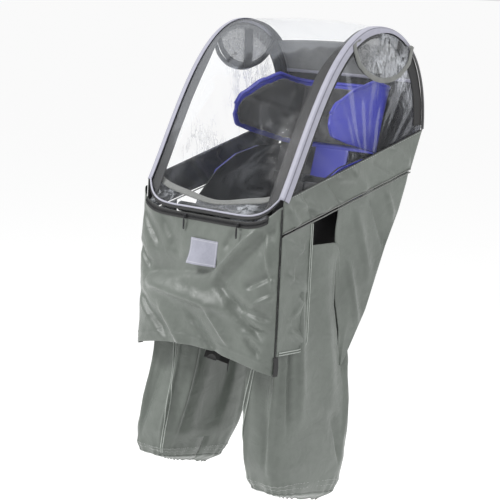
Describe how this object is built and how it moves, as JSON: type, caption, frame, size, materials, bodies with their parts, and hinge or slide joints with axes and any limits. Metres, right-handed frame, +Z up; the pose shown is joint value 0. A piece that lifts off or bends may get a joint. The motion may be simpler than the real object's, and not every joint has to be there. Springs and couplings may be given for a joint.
{
  "type": "front child bicycle seat with rain cover",
  "caption": "Handlebar-mounted child seat inside a zip-up rain cover with a clear hood, cloth front, handlebar slots and hanging leg bags.",
  "frame": {"origin": "middle of the handlebar on its axis, half way between the two clamps", "axes": "+X to the child's left along the handlebar, +Y to the rear of the bicycle, +Z up; the front window faces -Y"},
  "size_m": [0.402, 0.4878, 1.0174],
  "materials": {
    "cast_black": "satin",
    "bolt_steel": "satin",
    "bracket_steel": "satin",
    "pad_rubber": "matte",
    "shell_plastic": "satin",
    "blue_plastic": "gloss",
    "padding_cloth": "matte",
    "webbing": "matte",
    "button_plastic": "gloss",
    "hoop_steel": "satin",
    "clear_sheet": "gloss",
    "cover_cloth": "satin",
    "rear_cloth": "satin",
    "zip_cloth": "matte",
    "zip_metal": "satin",
    "vent_net": "matte",
    "label_cloth": "satin"
  },
  "bodies": {
    "seat_and_cover": {"clamp_jaws": "cast_black", "clamp_caps": "cast_black", "clamp_bolts": "bolt_steel", "mount_bracket": "bracket_steel", "bracket_bolts": "bolt_steel", "support_stay": "bracket_steel", "stay_pad": "pad_rubber", "seat_shell": "shell_plastic", "seat_cushion": "padding_cloth", "back_cushion": "padding_cloth", "side_cheek_left": "blue_plastic", "side_cheek_right": "blue_plastic", "head_guide": "shell_plastic", "guard_bar": "shell_plastic", "shoulder_straps": "webbing", "crotch_strap": "webbing", "buckle_body": "shell_plastic", "leg_guard_left": "shell_plastic", "leg_guard_right": "shell_plastic", "hoop_left": "hoop_steel", "hoop_right": "hoop_steel", "roof_window": "clear_sheet", "rear_panel": "rear_cloth", "side_window_left": "clear_sheet", "side_window_right": "clear_sheet", "side_band_left": "cover_cloth", "side_band_right": "cover_cloth", "side_panel_left": "cover_cloth", "side_panel_right": "cover_cloth", "front_apron": "cover_cloth", "splash_guard": "clear_sheet", "zip_tape": "zip_cloth", "leg_bag_left": "cover_cloth", "leg_bag_right": "cover_cloth", "bag_cuff_left": "cover_cloth", "bag_cuff_right": "cover_cloth", "bag_gather_left": "cover_cloth", "bag_gather_right": "cover_cloth", "vent_mesh_left": "vent_net", "vent_mesh_right": "vent_net", "vent_strap_left": "webbing", "vent_strap_right": "webbing", "label_patch": "label_cloth"},
    "window": {"front_window": "clear_sheet"},
    "zip_slide_left": {"zip_slider_left": "zip_metal"},
    "zip_slide_right": {"zip_slider_right": "zip_metal"},
    "pull_left": {"pull_tab_left": "zip_metal"},
    "pull_right": {"pull_tab_right": "zip_metal"},
    "flap_left": {"side_flap_left": "cover_cloth"},
    "flap_right": {"side_flap_right": "cover_cloth"},
    "hood_left": {"vent_hood_left": "clear_sheet"},
    "hood_right": {"vent_hood_right": "clear_sheet"},
    "headrest": {"head_guard": "blue_plastic", "head_pad": "padding_cloth"},
    "lock_button": {"head_lock": "blue_plastic"},
    "foot_left": {"footrest_left": "shell_plastic", "foot_strap_left": "webbing"},
    "foot_right": {"footrest_right": "shell_plastic", "foot_strap_right": "webbing"},
    "release_button": {"buckle_button": "button_plastic"}
  },
  "joints": [
    {"name": "window_lift", "type": "hinge", "parent": "seat_and_cover", "child": "window", "pos_m": [0, 0.1683, 0.4497], "axis": [-1, 0, 0], "range_deg": [0, 100]},
    {"name": "zip_left_slide", "type": "slide", "parent": "seat_and_cover", "child": "zip_slide_left", "axis": [1, 0, 0], "range_m": [-0.06, 0.015]},
    {"name": "zip_right_slide", "type": "slide", "parent": "seat_and_cover", "child": "zip_slide_right", "axis": [-1, 0, 0], "range_m": [-0.05, 0.075]},
    {"name": "pull_left_swing", "type": "hinge", "parent": "zip_slide_left", "child": "pull_left", "pos_m": [0.107, -0.0583, 0.061], "axis": [-1, 0, 0], "range_deg": [0, 150]},
    {"name": "pull_right_swing", "type": "hinge", "parent": "zip_slide_right", "child": "pull_right", "pos_m": [-0.045, -0.0583, 0.061], "axis": [-1, 0, 0], "range_deg": [0, 150]},
    {"name": "flap_left_swing", "type": "hinge", "parent": "seat_and_cover", "child": "flap_left", "pos_m": [0.1992, -0.022, 0], "axis": [0, 0, -1], "range_deg": [0, 110]},
    {"name": "flap_right_swing", "type": "hinge", "parent": "seat_and_cover", "child": "flap_right", "pos_m": [-0.1992, -0.022, 0], "axis": [0, 0, 1], "range_deg": [0, 110]},
    {"name": "vent_left_lift", "type": "hinge", "parent": "seat_and_cover", "child": "hood_left", "pos_m": [0.199, 0, 0.4606], "axis": [0, -1, 0], "range_deg": [0, 60]},
    {"name": "vent_right_lift", "type": "hinge", "parent": "seat_and_cover", "child": "hood_right", "pos_m": [-0.199, 0, 0.4606], "axis": [0, 1, 0], "range_deg": [0, 60]},
    {"name": "headrest_height", "type": "slide", "parent": "seat_and_cover", "child": "headrest", "axis": [0, 0.2419, 0.9703], "range_m": [-0.06, 0]},
    {"name": "headrest_lock_press", "type": "slide", "parent": "seat_and_cover", "child": "lock_button", "axis": [0, -0.9703, 0.2419], "range_m": [0, 0.003], "stiffness_N_per_m": 400},
    {"name": "footrest_left_height", "type": "slide", "parent": "seat_and_cover", "child": "foot_left", "axis": [0, 0, 1], "range_m": [0, 0.08]},
    {"name": "footrest_right_height", "type": "slide", "parent": "seat_and_cover", "child": "foot_right", "axis": [0, 0, 1], "range_m": [0, 0.08]},
    {"name": "buckle_release", "type": "slide", "parent": "seat_and_cover", "child": "release_button", "axis": [0, 1, 0], "range_m": [0, 0.003], "stiffness_N_per_m": 500}
  ]
}
